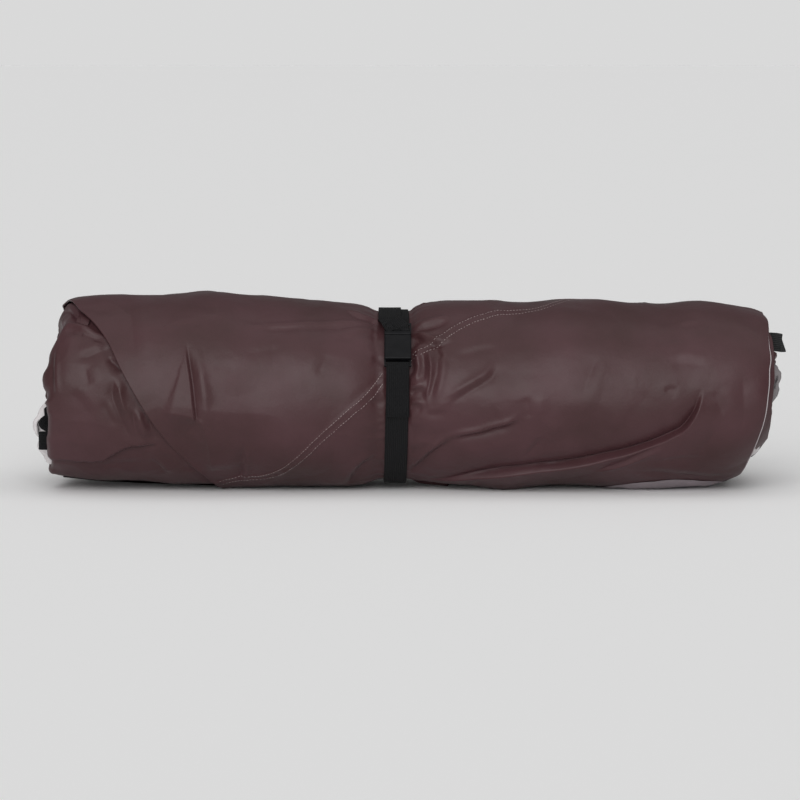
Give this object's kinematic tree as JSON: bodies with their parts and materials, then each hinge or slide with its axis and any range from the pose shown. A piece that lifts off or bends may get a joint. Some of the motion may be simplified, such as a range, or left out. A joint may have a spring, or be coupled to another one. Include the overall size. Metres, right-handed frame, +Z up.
{
  "type": "packed cabin tent roll",
  "caption": "Folded tent body rolled into a long soft cylinder and cinched at its waist by a webbing strap with a side-release buckle.",
  "frame": {"origin": "on the ground under the middle of the roll", "axes": "+X along the roll, +Z up, and the buckle and the slanting flap face -Y"},
  "size_m": [0.8336, 0.234, 0.2185],
  "materials": {
    "tent_fabric": "satin coated polyester",
    "floor_fabric": "satin",
    "lining_fabric": "matte",
    "webbing": "matte woven",
    "buckle_plastic": "satin"
  },
  "bodies": {
    "root": {"core_fold": "tent_fabric", "tent_wall_laps": "tent_fabric", "floor_sheet_laps": "floor_fabric", "lining_laps": "lining_fabric", "inner_wrap": "tent_fabric", "under_wrap": "tent_fabric", "outer_wrap": "tent_fabric", "tail_flap": "tent_fabric", "strap_band": "webbing", "buckle_socket": "buckle_plastic", "buckle_plug": "buckle_plastic", "peg_loop_left": "webbing", "peg_loop_right": "webbing", "lining_fold_left": "lining_fabric", "wall_fold_left": "tent_fabric", "floor_fold_right": "floor_fabric"}
  },
  "joints": []
}
